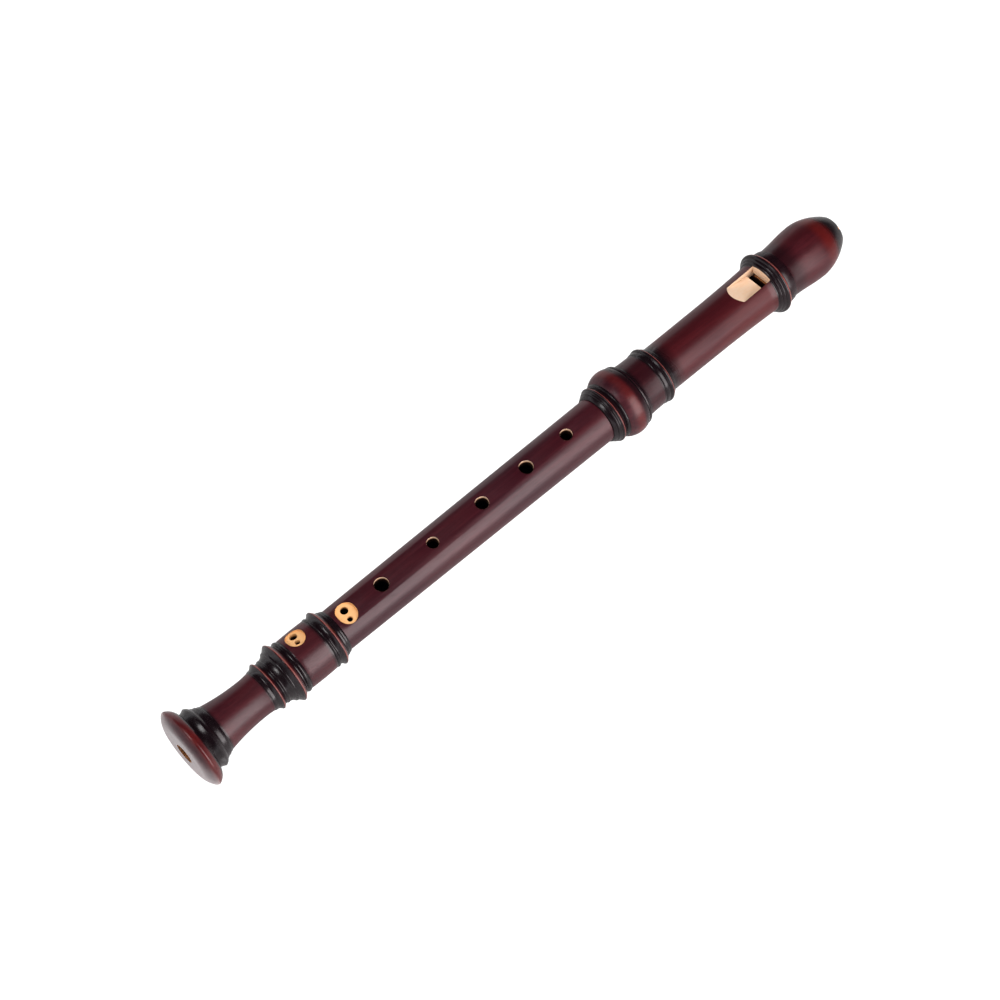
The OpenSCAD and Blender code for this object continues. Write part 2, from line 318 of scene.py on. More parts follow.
def outside_round(x, y, place, length, width):
    """How far a point lies outside a round-ended cut, in millimetres."""
    along = x / MM - place
    across = (abs(y / MM) - (width - length) / 2).math("MAXIMUM", 0.0)
    return (along * along + across * across) ** 0.5 - length / 2


def outside_window(x, y, z):
    """How far a point lies outside the window and its hollow ramp, in millimetres."""
    along = x / MM - HEAD_EDGE
    across = abs(y / MM) - WINDOW_WIDTH / 2
    centre, radius = hollow((LABIUM_EDGE, LABIUM_HEIGHT), (LABIUM_EDGE - RAMP_LENGTH, RAMP_TOP),
                            RAMP_HOLLOW)
    rise = z / MM - centre.y
    run = along - centre.x
    behind = ((run * run + rise * rise) ** 0.5 - radius) * RAMP_LENGTH / (RAMP_TOP - LABIUM_HEIGHT)
    near = behind * along.finish.step(along, LABIUM_EDGE, LABIUM_EDGE - 0.5)
    return across.math("MAXIMUM", near).math("MAXIMUM", along - WINDOW_END)


def stained_wood(name, turn, cuts, sheen):
    """Dark red-brown stain on straight-grained wood, blackened in the rings and worn red on crests.

    cuts are round-ended cuts as (place, length, width, side), or the word window.
    """
    colours, sizes = bpy.context.scene.recorder_colours, bpy.context.scene.recorder_sizes
    finish = Finish(name)
    x, y, z = finish.turned(turn)

    # the wood's figure, its fine lines and open pores, and slow drifts of colour
    figure = finish.noise((18, 420, 420), 4.0, 0.55)
    lines = finish.noise((60, 2600, 2600), 3.0, 0.6, (3, 1, 2))
    pores = finish.noise((260, 5200, 5200), 2.0, 0.6, (1, 5, 4))
    cloud = finish.noise((22, 55, 55), 2.0, 0.5, (7, 2, 9))
    streak = finish.step(figure * 0.6 + lines * 0.4, 0.40, 0.66)
    flecks = finish.step(pores, 0.60, 0.72)

    colour = finish.mix(streak * 0.55, colours.stain, colours.stain_light)
    colour = finish.mix(finish.step(cloud, 0.35, 0.75) * 0.12, colour, colours.stain_red)
    # stain worn thin over the warm bands, and to bare wood and painted highlight on the crests
    thin = finish.attribute("worn")
    worn = thin * (0.55 + finish.step(cloud, 0.35, 0.65) * 0.3 + streak * 0.15)
    colour = finish.mix(worn, colour, colours.stain_red)
    colour = finish.mix(flecks * 0.35, colour, colours.ebony)
    # painted highlight: pale lines on the crests, worn-through wood standing in for their glint
    colour = finish.mix(finish.step(thin, 0.64, 0.80) * 0.45, colour, colours.bare_and_highlight)
    ebony = finish.attribute("ebony")
    colour = finish.mix(ebony * 0.94, colour, colours.ebony)

    # a scorched outline round each cut, on the side of the joint where the cut is
    for opening in cuts:
        if opening == "window":
            gap, outward = outside_window(x, y, z), z
        else:
            *size, side = opening
            gap, outward = outside_round(x, y, *size), z * side
        facing = finish.step(outward, 0.0, 0.001)
        near = finish.step(gap, 0.0, sizes.scorch_width / MM, 1.0, 0.0) * facing
        colour = finish.mix(near * 0.85, colour, colours.scorch_and_shade)

    gloss = finish.noise((30, 160, 160), 3.0, 0.55, (2, 8, 3))
    roughness = 0.33 + gloss * 0.12 + flecks * 0.12 - ebony * 0.14 - thin * 0.12
    height = lines * 0.5 + pores * 0.5 - flecks * 0.6
    normal = finish.bump(height, sizes.grain_height, 0.55)
    return finish.surface(base_color=colour, roughness=roughness, normal=normal,
                          specular_ior_level=sheen)


def pale_wood(name):
    """Clean cut wood at the window, the pockets and the hole walls, with painted shade deeper in.
    """
    colours = bpy.context.scene.recorder_colours
    finish = Finish(name)
    lines = finish.noise((70, 1500, 1500), 4.0, 0.6, (4, 4, 1))
    cloud = finish.noise((150, 260, 260), 2.0, 0.5)
    colour = finish.mix(finish.step(lines, 0.42, 0.68) * 0.55, colours.pale_wood,
                        colours.pale_grain)
    colour = finish.mix(finish.step(cloud, 0.5, 0.8) * 0.2, colour, colours.pale_grain)
    colour = finish.mix(finish.attribute("pocket") * (0.8 + lines * 0.3), colour,
                        colours.pocket_wood)
    # painted shade: the walls of holes and pockets go towards the bore's colours with depth
    sunk = finish.attribute("sunk")
    colour = finish.mix(finish.step(sunk, 0.3, 1.3) * 0.6, colour, colours.bore_wood)
    colour = finish.mix(finish.step(sunk, 0.8, 1.7), colour, colours.bore_oil_and_shade)
    normal = finish.bump(lines, 0.00002, 0.5)
    return finish.surface(base_color=colour, roughness=0.5 + lines * 0.15, normal=normal)


def bore_wood(name):
    """Oiled, darker wood with reamer rings in the bore and sockets, and painted shade deep in."""
    colours = bpy.context.scene.recorder_colours
    finish = Finish(name)
    lines = finish.noise((60, 1300, 1300), 4.0, 0.6, (2, 3, 5))
    rings = finish.noise((3500, 30, 30), 2.0, 0.5)
    along = finish.node("SeparateXYZ", inputs={0: finish.place})
    # the oiled wood's colour at the bell's mouth, and painted shade further in
    colour = finish.mix(finish.step(along, 0.004, 0.03), colours.bore_wood,
                        colours.bore_oil_and_shade)
    colour = finish.mix(finish.step(lines, 0.38, 0.7) * 0.5, colour, colours.bore_oil_and_shade)
    normal = finish.bump(rings, 0.00002, 0.5)
    return finish.surface(base_color=colour, roughness=0.42 + lines * 0.12, normal=normal)


def cork_finish(name):
    """Sheet cork: fine granules with dark lenticels, and a little wax."""
    granules = 1600.0              # to the metre
    colours = bpy.context.scene.recorder_colours
    finish = Finish(name)
    grains, cells = (finish.node("TexVoronoi", {"feature": "F1"},
                                 {"Vector": finish.place, "Scale": granules}, wanted)
                     for wanted in ("Distance", "Color"))
    tone = finish.node("SeparateColor", inputs={0: cells})
    pits = finish.step(finish.noise((900, 380, 380), 3.0, 0.6, (1, 2, 3)), 0.60, 0.68)
    cloud = finish.noise((120, 160, 160), 2.0, 0.5)
    light = tuple(min(1.0, c * 1.35) for c in colours.cork)
    dark = tuple(c * 0.25 for c in colours.cork)
    colour = finish.mix(tone * 0.6 + cloud * 0.3, colours.cork, light)
    colour = finish.mix(pits * 0.85, colour, dark)
    height = 0.0 - grains * 0.4 - pits
    return finish.surface(base_color=colour, roughness=0.72 + tone * 0.12,
                          normal=finish.bump(height, 0.00006, 0.8))


def cedar_finish(name, turn, start):
    """Straight-grained cedar with bands of late wood, painted shade under the windway's exit."""
    colours = bpy.context.scene.recorder_colours
    finish = Finish(name)
    waver = finish.noise((30, 200, 200), 2.0, 0.5)
    along, across, height = finish.turned(turn)
    late = ((across / MM * 1.1 + waver * 3.2) * tau).math("SINE") * 0.5 + 0.5
    fibres = finish.noise((90, 2400, 2400), 3.0, 0.6)
    dark = tuple(c * 0.5 for c in colours.cedar)
    colour = finish.mix(late ** 2.5 * 0.6, colours.cedar, dark)
    colour = finish.mix(finish.step(fibres, 0.45, 0.7) * 0.35, colour, dark)
    # painted shade: the block's face near the window, below the windway's floor, goes almost black
    painted_shade = (finish.step(along, start * MM, (start + 3) * MM, 1.0, 0.0)
            * finish.step(height, 0.0044, 0.0052, 1.0, 0.0))
    colour = finish.mix(painted_shade * 0.96, colour, colours.scorch_and_shade)
    return finish.surface(base_color=colour, roughness=0.55 + late * 0.1,
                          normal=finish.bump(fibres, 0.00002, 0.6))


# ---------------------------------------------------------------- turned outlines

def arc(start, end, rise, steps=10):
    """Points of the arc from start to end that rises to the left of the line between them."""
    a, b = Vector(start), Vector(end)
    run = b - a
    side = Vector((-run.y, run.x)).normalized()
    radius = (run.length ** 2 / 4 + rise * rise) / (2 * abs(rise))
    points = []
    for i in range(steps + 1):
        along = (i / steps - 0.5) * run.length
        lift = sqrt(max(0.0, radius ** 2 - along ** 2)) - (radius - abs(rise))
        points.append(tuple(a + run * (i / steps) + side * lift * (1 if rise > 0 else -1)))
    return points


FOOT_OUTLINE = [
    # bell rim and its groove
    *arc((0, 9.6), (2.2, 15.47), 0.6, 14),
    *arc((2.2, 15.47), (3.4, 15.7), 0.2, 8),
    *arc((3.4, 15.7), (6, 13), 0.33, 12),
    (6.2, 11.6),
    *arc((6.4, 11.45), (8.8, 12.3), -0.15, 5),
    *arc((8.8, 12.3), (10.4, 11.1), 0.2, 5),
    (10.6, 10.9), (11, 10.8), (11.1, 10.5), (12.4, 10.2), (12.5, 9.9), (13.5, 9.65), (13.7, 9.4),
    # cove down to the waist and out again
    *arc((13.7, 9.4), (29, 7.85), -0.36, 14),
    *arc((29, 7.85), (34.1, 8.15), -0.1, 6),
    # first ring
    (34.2, 8.35), (35.3, 8.5), (35.4, 8.45),
    *arc((35.5, 8.5), (36.8, 9.65), -0.06, 4),
    *arc((36.8, 9.65), (37.2, 9.65), 0.06, 4),
    (38.3, 8.5),
    *arc((38.5, 8.65), (39, 8.7), 0.1, 4),
    *arc((39.2, 8.9), (39.8, 9.05), 0.12, 4),
    *arc((40, 8.95), (41.9, 9.85), -0.12, 6),
    *arc((42, 10.1), (42.7, 10.5), 0.12, 4),
    # second ring and the bead behind it
    *arc((42.8, 10.45), (44.4, 12), -0.05, 5),
    *arc((44.4, 12), (44.9, 11.95), 0.08, 4),
    (46.6, 10.15), (47, 10.1),
    *arc((47.1, 10.2), (48.7, 10.25), 0.5, 8),
    (48.9, 10.15),
    # barrel
    *arc((49.2, 10.3), (60.8, 10.3), 0.12, 8),
    (60.9, 10.1),
    *arc((61.05, 10.25), (62, 10.25), 0.3, 6),
    (62.2, 10.1), (62.8, 10.15),
    # third ring and the steps down to the top edge
    *arc((62.9, 10.2), (64.1, 11.25), -0.1, 5),
    *arc((64.1, 11.25), (64.6, 11.2), 0.08, 4),
    (65.9, 9.8), (66, 9.5),
    *arc((66.1, 9.45), (67.1, 9.3), 0.12, 4),
    *arc((67.2, 9.05), (FOOT_LIP, 8.8), 0.1, 4),
]

# From the head's lower edge to the tip
HEAD_OUTLINE = [
    # lower edge, with fine grooves up to the ring
    (0, 9.7), (0.15, 9.95), (1.25, 10.65), (1.4, 10.5),
    *arc((1.5, 10.8), (2.05, 11.1), 0.08, 4),
    *arc((2.2, 11.2), (2.7, 11.5), 0.08, 4),
    (2.8, 11.4),
    *arc((2.9, 11.65), (3.9, 11.7), 0.3, 6),
    (4.9, 11.3), (5.3, 11.1),
    *arc((5.5, 11.5), (6.2, 11.9), 0.12, 4),
    (6.35, 11.75),
    # socket bulge and its bead
    *arc((6.5, 12.1), (15.2, 13.15), 1.3, 24),
    (15.3, 12.85),
    *arc((15.45, 13.05), (16.5, 12.95), 0.12, 4),
    (16.75, 11.65),
    # barrel
    *arc((16.9, 11.55), (26, 11.2), -0.1, 8),
    (26.1, 11.05),
    # collar
    *arc((26.2, 11.2), (28, 11.45), 0.15, 6),
    (28.2, 11.3),
    *arc((28.4, 11.45), (29.9, 11.55), 0.4, 8),
    (30.1, 11.2),
    *arc((30.2, 11.2), (31, 10.7), 0.12, 4),
    (31.15, 10.4),
    *arc((31.25, 10.45), (32.2, 9.9), 0.1, 4),
    (32.3, 9.7),
    # tube, flaring towards the window
    *arc((32.5, 9.65), (55, 9.75), -0.02, 4),
    *arc((55, 9.75), (87.7, 10.5), -0.18, 12),
    # ring beside the window
    (87.9, 10.65), (88.3, 10.75), (88.4, 10.6),
    *arc((88.5, 10.9), (89.4, 11.6), 0.1, 4),
    (89.5, 11.45),
    *arc((89.7, 11.8), (90.5, 12.4), 0.1, 4),
    (90.6, 12.3),
    *arc((90.8, 12.65), (92.4, 13.05), 0.45, 8),
    *arc((92.4, 13.05), (93.3, 11.85), -0.1, 4),
    (93.45, 11.55),
    *arc((93.6, 11.6), (97, 11.5), 0.16, 6),
    # beak
    (97.1, 11),
    *arc((97.3, 10.95), (107, 11.6), -0.14, 10),
    *arc((107, 11.6), (114.2, 12.1), 0.08, 8),
    *arc((114.2, 12.1), (118, 11.73), 0.08, 6),
    *arc((118, 11.73), (128.7, 6.9), 0.66, 20),
    *arc((128.7, 6.9), (129.3, 3.2), 0.5, 14),
]

# Where the finish is blackened, warm where the stain is thin, and worn red with a painted
# highlight along the crests of rings, as (from, to, strength, softness)
FOOT_EBONY = ((5.1, 13.9, 1.0, 0.25), (34.0, 49.0, 1.0, 0.25), (60.8, 69.0, 1.0, 0.15))
FOOT_WARM = ((2.6, 5.2, 0.6, 1.4), (14.0, 34.0, 0.12, 3.0), (50.0, 60.0, 0.14, 3.0))
FOOT_CRESTS = ((37.0, 37.1, 0.85, 0.5), (44.75, 44.85, 0.85, 0.7), (64.45, 64.55, 0.85, 0.6))
# the softer dark bands on the head's bulge, barrel and beak only make the colour darker there
HEAD_EBONY = ((-1.0, 6.35, 1.0, 0.1), (13.6, 15.45, 0.75, 1.8), (15.2, 15.45, 1.0, 0.1),
              (16.4, 17.4, 1.0, 1.8), (15.4, 26.0, 0.42, 0.8), (26.0, 32.5, 1.0, 0.15),
              (87.8, 91.8, 1.0, 0.15), (91.8, 93.4, 0.3, 0.15), (93.5, 97.2, 0.85, 0.2),
              (97.0, 100.0, 0.6, 6.0), (124.2, 131.0, 1.0, 4.4))
HEAD_WARM = ((10.6, 11.4, 0.58, 3.0), (19.0, 26.0, 0.14, 3.0), (33.0, 87.0, 0.32, 6.0),
             (92.4, 93.3, 0.55, 0.3), (98.0, 129.0, 0.12, 3.0), (118.5, 121.5, 0.62, 5.0))
HEAD_CRESTS = ((3.5, 3.6, 0.8, 0.5), (29.5, 29.6, 0.85, 0.5), (91.9, 92.45, 0.85, 0.45))


def banded(place, bands):
    """Strongest band at that place along the bore, with soft edges."""
    best = 0.0
    for start, end, strength, soft in bands:
        outside = min(1.0, max(start - place, place - end, 0.0) / soft)
        best = max(best, strength * (1 - outside * outside * (3 - 2 * outside)))
    return best


# ---------------------------------------------------------------- mesh making

def mesh_from(name, bm, materials):
    """A mesh with those materials, where None keeps the place of a finish that comes later."""
    mesh = bpy.data.meshes.new(name)
    bm.to_mesh(mesh)
    bm.free()
    for material in materials:
        mesh.materials.append(material)
    return mesh


def placed(name, data):
    """An object in the scene that holds that mesh, lamp or camera."""
    thing = bpy.data.objects.new(name, data)
    bpy.context.scene.collection.objects.link(thing)
    return thing


def lathe(bm, outline):
    """Turns a closed outline of (place, radius) once about the bore axis."""
    points = [bm.verts.new((x, 0.0, r)) for x, r in outline]
    edges = [bm.edges.new(pair) for pair in zip(points, points[1:] + points[:1])]
    bmesh.ops.spin(bm, geom=points + edges, cent=(0, 0, 0), axis=(1, 0, 0), dvec=(0, 0, 0),
                   angle=tau, steps=AROUND, use_merge=True, use_duplicate=False)
    bmesh.ops.remove_doubles(bm, verts=bm.verts, dist=1e-4)
    bmesh.ops.recalc_face_normals(bm, faces=bm.faces)


def without_repeats(points):
    """The points, less any that lie on the one before."""
    return [p for i, p in enumerate(points)
            if i == 0 or hypot(p[0] - points[i - 1][0], p[1] - points[i - 1][1]) > 1e-3]


def tool(name, bm, finish=PALE):
    """A cutter as an object, in millimetres."""
    bmesh.ops.recalc_face_normals(bm, faces=bm.faces)
    for face in bm.faces:
        face.material_index = finish
    return placed(name, mesh_from(name, bm, [None] * 3))


def drill(place, diameter, across=0.0, side=1):
    """A round cutter square to the bore."""
    bm = bmesh.new()
    centre = Matrix.Translation((place, across, side * REACH / 2))
    bmesh.ops.create_cone(bm, cap_ends=True, segments=80, radius1=diameter / 2,
                          radius2=diameter / 2, depth=REACH, matrix=centre)
    return tool("drill", bm)


def pocket(place, floor, length, width):
    """The cutter for a round-ended pocket that lies across the bore."""
    bm = bmesh.new()
    bmesh.ops.create_circle(bm, cap_ends=True, segments=96, radius=length / 2,
                            matrix=Matrix.Translation((place, 0, floor)))
    for side in (-1, 1):
        bmesh.ops.translate(bm, vec=(0, side * (width - length) / 2, 0),
                            verts=[v for v in bm.verts if v.co.y * side > 1e-6])
    pushed = bmesh.ops.extrude_face_region(bm, geom=bm.faces[:])["geom"]
    bmesh.ops.translate(bm, vec=(0, 0, REACH - floor),
                        verts=[v for v in pushed if isinstance(v, bmesh.types.BMVert)])
    return tool("pocket", bm)


def slab(start, end, width, low, high, finish=PALE):
    """A square-edged cutter along the bore, centred across it."""
    bm = bmesh.new()
    size = Matrix.Diagonal((end - start, width, high - low, 1.0))
    bmesh.ops.create_cube(
        bm, size=1.0, matrix=Matrix.Translation(((start + end) / 2, 0, (low + high) / 2)) @ size)
    return tool("slab", bm, finish)


def hollow(a, b, depth):
    """Centre and radius of the arc from a to b that dips by depth, its centre on the right."""
    a, b = Vector(a), Vector(b)
    run = b - a
    radius = (run.length ** 2 / 4 + depth ** 2) / (2 * depth)
    return (a + b) / 2 + Vector((run.y, -run.x)).normalized() * (radius - depth), radius


def roller(a, b, depth, width):
    """A large round cutter lying across the head, that hollows the line from a to b."""
    centre, radius = hollow(a, b, depth)
    bm = bmesh.new()
    place = Matrix.Translation((HEAD_EDGE + centre.x, 0, centre.y))
    bmesh.ops.create_cone(bm, cap_ends=True, segments=720, radius1=radius, radius2=radius,
                          depth=width, matrix=place @ Matrix.Rotation(pi / 2, 4, "X"))
    return bm


def beak_scoop():
    """The cutter that hollows the beak's underside."""
    bm = roller(SCOOP_START, (TIP - HEAD_EDGE, SCOOP_END_HEIGHT), SCOOP_HOLLOW, 3 * REACH)
    return tool("beak_scoop", bm, STAINED)


def ramp():
    """The cutter for the hollow ramp that falls to the labium's edge."""
    bm = roller((LABIUM_EDGE, LABIUM_HEIGHT), (LABIUM_EDGE - RAMP_LENGTH, RAMP_TOP), RAMP_HOLLOW,
                WINDOW_WIDTH)
    edge = (HEAD_EDGE + LABIUM_EDGE, 0, 0)
    halved = bmesh.ops.bisect_plane(bm, geom=bm.verts[:] + bm.edges[:] + bm.faces[:],
                                    plane_co=edge, plane_no=(1, 0, 0), clear_outer=True)
    rim = [e for e in halved["geom_cut"] if isinstance(e, bmesh.types.BMEdge)]
    bmesh.ops.edgeloop_fill(bm, edges=rim)
    return tool("ramp", bm)


def cut(name, mesh, cutters):
    """The mesh after each cutter has been taken from it in turn."""
    work = placed(name, mesh)
    for cutter in cutters:
        step = work.modifiers.new("cut", "BOOLEAN")
        step.operation, step.solver, step.object = "DIFFERENCE", "EXACT", cutter
        step.material_mode = "INDEX"
    graph = bpy.context.evaluated_depsgraph_get()
    made = bpy.data.meshes.new_from_object(work.evaluated_get(graph))
    bpy.data.objects.remove(work)
    for cutter in cutters:
        bpy.data.objects.remove(cutter)
    return made


def rims(bm):
    """Edges where the stained surface meets a pale cut."""
    return [e for e in bm.edges if len(e.link_faces) == 2
            and {f.material_index for f in e.link_faces} == {STAINED, PALE}]


def tidied(mesh, rim_width=0.0):
    """Merges slivers left by cutting, and softens the rims of the cuts in pale wood."""
    bm = bmesh.new()
    bm.from_mesh(mesh)
    bmesh.ops.remove_doubles(bm, verts=bm.verts, dist=WELD)
    bmesh.ops.dissolve_degenerate(bm, edges=bm.edges, dist=SLIVER)
    if rim_width:
        rounded = bmesh.ops.bevel(bm, geom=rims(bm), offset=rim_width, offset_type="OFFSET",
                                  affect="EDGES", segments=2, profile=0.5, material=-1,
                                  clamp_overlap=True, loop_slide=False)
        for face in rounded["faces"]:
            face.material_index = PALE
    return bm


def finished(name, bm, materials, body, node, start=0.0, turn=0.0, bands=None, milled=None,
             top=None):
    """Makes the piece in metres, shades it, and hands it to the frame.

    bands are where it is blackened, warm and crested, from start. milled is its pocket, and top
    gives the radius of the outside over a point, to tell how deep the point lies in a cut.
    """
    mesh = mesh_from(name, bm, materials)
    places = [v.co.copy() for v in mesh.vertices]
    if bands:
        dark, warm, crests = ([banded(p.x - start, row) for p in places] for row in bands)
        # worn holds the warm bands and the crests, where it also places the painted highlight
        paint(mesh, "worn", [max(w, c) for w, c in zip(warm, crests)])
        paint(mesh, "ebony", [d * (1 - c) for d, c in zip(dark, crests)])
    if milled:
        paint(mesh, "sunk", [depth_below(p, milled, top(p)) for p in places])
        paint(mesh, "pocket", [float(in_pocket(p, milled)) for p in places])
    mesh.transform(Matrix.Rotation(turn, 4, "X"))
    mesh.transform(Matrix.Scale(MM, 4))
    mesh.shade_smooth()
    mesh.set_sharp_from_angle(angle=CREASE)
    piece = placed(name, mesh)
    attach(piece, body)
    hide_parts(node)


def paint(mesh, label, values):
    """Keeps one number at each point of the mesh, for its finish to read."""
    mesh.attributes.new(label, "FLOAT", "POINT").data.foreach_set("value", values)


def in_pocket(point, milled):
    """Whether a point lies over or under a pocket's floor."""
    place, _, length, width = milled
    return (abs(point.x - place) < length / 2 + 0.01 and abs(point.y) < width / 2 + 0.01
            and point.z > 0)


def depth_below(point, milled, top):
    """How deep a point lies under the surface, or under a pocket's floor."""
    if in_pocket(point, milled):
        return max(0.0, milled[1] - point.z)
    return max(0.0, top - hypot(point.y, point.z))


def joint_mesh(name, outline, bore):
    """A turned joint with its bore, as a mesh with the finishes set by place."""
    bm = bmesh.new()
    lathe(bm, without_repeats(list(outline) + list(bore)))
    spots = sorted(bore)
    for face in bm.faces:
        middle = face.calc_center_median()
        reach = hypot(middle.y, middle.z)
        face.material_index = STAINED
        for (x0, r0), (x1, r1) in zip(spots, spots[1:]):
            if x0 <= middle.x <= x1 and x1 > x0:
                if reach < r0 + (r1 - r0) * (middle.x - x0) / (x1 - x0) + BORE_SLACK:
                    face.material_index = BORE
    return mesh_from(name, bm, [None] * 3)


def materials_for(name, turn, cuts, sheen=0.5):
    """The finishes of a joint, in the order of STAINED, PALE and BORE."""
    return [stained_wood(name + "_stain", turn, cuts, sheen), shared("pale_wood", pale_wood),
            shared("bore_wood", bore_wood)]


def shared(name, make):
    """The finish of that name, made the first time it is wanted."""
    return bpy.data.materials.get(name) or make(name)


# ---------------------------------------------------------------- operators

class RECORDER_OT_foot_joint(bpy.types.Operator):
    """Builds the foot joint with its bell, rings and double hole"""
    bl_idname = "recorder.foot_joint"
    bl_label = "Foot joint"

    def execute(self, context):
        sizes = context.scene.recorder_sizes
        socket = LOWER_TENON + CORK_PROUD + SOCKET_GAP
        depth = FOOT_TOP - LOWER_SOCKET_DEPTH
        bore = [(FOOT_LIP, socket), (depth, socket), (depth, MIDDLE_END_BORE),
                (FOOT_BORE_LENGTH, FOOT_BORE), (0, FOOT_BORE)]
        mesh = joint_mesh("foot", FOOT_OUTLINE, bore)
        cutters = [pocket(*POCKET_7)]
        cutters += [drill(POCKET_7[0] + a, d, b) for a, b, d in TWINS_7]
        bm = tidied(cut("foot", mesh, cutters), sizes.rim_width / MM)
        place, _, length, width = POCKET_7
        materials = materials_for("foot", sizes.foot_turn, [(place, length, width, 1)])
        finished("foot_joint_wood", bm, materials, "foot", "foot_joint",
                 turn=sizes.foot_turn, bands=(FOOT_EBONY, FOOT_WARM, FOOT_CRESTS),
                 milled=POCKET_7, top=lambda p: POCKET_7[1])
        return {"FINISHED"}


class RECORDER_OT_middle_joint(bpy.types.Operator):
    """Builds the middle joint with its finger holes, thumb hole and tenons"""
    bl_idname = "recorder.middle_joint"
    bl_label = "Middle joint"

    def execute(self, context):
        sizes = context.scene.recorder_sizes
        low_end, high_end = FOOT_TOP - LOWER_TENON_LENGTH, SHOULDER + UPPER_TENON_LENGTH
        low_floor = LOWER_TENON + CORK_PROUD - CORK_THICK
        high_floor = UPPER_TENON + CORK_PROUD - CORK_THICK
        low_cork = (LOWER_CORK[0] - CORK_GAP, LOWER_CORK[1] + CORK_GAP)
        high_cork = (UPPER_CORK[0] - CORK_GAP, UPPER_CORK[1] + CORK_GAP)
        outline = [
            (low_end, LOWER_TENON - TENON_CHAMFER), (low_end + TENON_CHAMFER, LOWER_TENON),
            (low_cork[0], LOWER_TENON), (low_cork[0], low_floor),
            (low_cork[1], low_floor), (low_cork[1], LOWER_TENON),
            (FOOT_TOP, LOWER_TENON), (FOOT_TOP, TUBE_FOOT - TUBE_CHAMFER),
            (FOOT_TOP + TUBE_CHAMFER, TUBE_FOOT), (SHOULDER - TUBE_CHAMFER, TUBE_HEAD),
            (SHOULDER, TUBE_HEAD - TUBE_CHAMFER), (SHOULDER, UPPER_TENON),
            (high_cork[0], UPPER_TENON), (high_cork[0], high_floor),
            (high_cork[1], high_floor), (high_cork[1], UPPER_TENON),
            (high_end - TENON_CHAMFER, UPPER_TENON), (high_end, UPPER_TENON - TENON_CHAMFER)]
        bore = [(high_end, HEAD_BORE), (low_end, MIDDLE_END_BORE)]
        mesh = joint_mesh("middle", outline, bore)
        cutters = [drill(place, diameter) for place, diameter in FINGER_HOLES]
        cutters.append(drill(THUMB_HOLE[0], THUMB_HOLE[1], side=-1))
        cutters.append(pocket(*POCKET_6))
        cutters += [drill(POCKET_6[0] + a, d, b) for a, b, d in TWINS_6]
        bm = tidied(cut("middle", mesh, cutters), sizes.rim_width / MM)
        cuts = [(place, diameter, diameter, 1) for place, diameter in FINGER_HOLES]
        place, _, length, width = POCKET_6
        cuts += [(THUMB_HOLE[0], THUMB_HOLE[1], THUMB_HOLE[1], -1), (place, length, width, 1)]
        slope = (TUBE_HEAD - TUBE_FOOT) / (SHOULDER - FOOT_TOP)
        finished("middle_joint_wood", bm, materials_for("middle", 0.0, cuts), "middle",
                 "middle_joint",
                 milled=POCKET_6, top=lambda p: TUBE_FOOT + slope * (p.x - FOOT_TOP))
        return {"FINISHED"}


class RECORDER_OT_head_joint(bpy.types.Operator):
    """Builds the head joint with its socket bulge, window, labium, windway and beak"""
    bl_idname = "recorder.head_joint"
    bl_label = "Head joint"

    def execute(self, context):
        sizes = context.scene.recorder_sizes
        turn = sizes.head_turn
        outer = [p for p in without_repeats(HEAD_OUTLINE) if p[1] > HEAD_BORE]
        last = outer[-1]
        after = next(p for p in HEAD_OUTLINE if p[0] > NEAR_TIP and p[1] <= HEAD_BORE)
        share = (last[1] - HEAD_BORE) / (last[1] - after[1])
        end = last[0] + (after[0] - last[0]) * share
        socket = UPPER_TENON + CORK_PROUD + SOCKET_GAP
        bore = [(end, HEAD_BORE), (UPPER_SOCKET_DEPTH, HEAD_BORE), (UPPER_SOCKET_DEPTH, socket),
                (0, socket)]
        outline = [(x + HEAD_EDGE, r) for x, r in outer]
        mesh = joint_mesh("head", outline, [(x + HEAD_EDGE, r) for x, r in bore])
        window, edge = HEAD_EDGE + WINDOW_END, HEAD_EDGE + LABIUM_EDGE
        cutters = [
            slab(window - 0.5, TIP + 1, WINDWAY_WIDTH, 0, WINDWAY_ROOF),
            slab(edge, window, WINDOW_WIDTH, 0, REACH),
            slab(edge - LABIUM_UNDERCUT, edge, WINDOW_WIDTH, 0, LABIUM_UNDERSIDE),
            ramp(),
            beak_scoop()]
        bm = tidied(cut("head", mesh, cutters), sizes.rim_width / MM)
        finished("head_joint_wood", bm, materials_for("head", turn, ["window"], 0.42), "head",
                 "head_joint", start=HEAD_EDGE, turn=turn,
                 bands=(HEAD_EBONY, HEAD_WARM, HEAD_CRESTS))
        return {"FINISHED"}


class RECORDER_OT_block(bpy.types.Operator):
    """Builds the cedar block that closes the beak and makes the windway's floor"""
    bl_idname = "recorder.block"
    bl_label = "Block"

    def execute(self, context):
        sizes = context.scene.recorder_sizes
        radius = HEAD_BORE - BLOCK_GAP
        start = HEAD_EDGE + WINDOW_END
        outer = [p for p in without_repeats(HEAD_OUTLINE) if p[0] > NEAR_TIP and p[1] < radius]
        bm = bmesh.new()
        lathe(bm, [(start, 0.0), (start, radius - BLOCK_CHAMFER), (start + BLOCK_CHAMFER, radius),
                   (HEAD_EDGE + outer[0][0] - 0.1, radius),
                   *((x + HEAD_EDGE, r) for x, r in outer), (HEAD_EDGE + outer[-1][0], 0.0)])
        cutters = [slab(start - 1, TIP + 1, REACH, WINDWAY_FLOOR, 2 * radius, STAINED),
                   beak_scoop()]
        bm = tidied(cut("block", mesh_from("block", bm, [None]), cutters))
        finished("block_cedar", bm, [cedar_finish("cedar", sizes.head_turn, start)], "block",
                 "block", turn=sizes.head_turn)
        return {"FINISHED"}


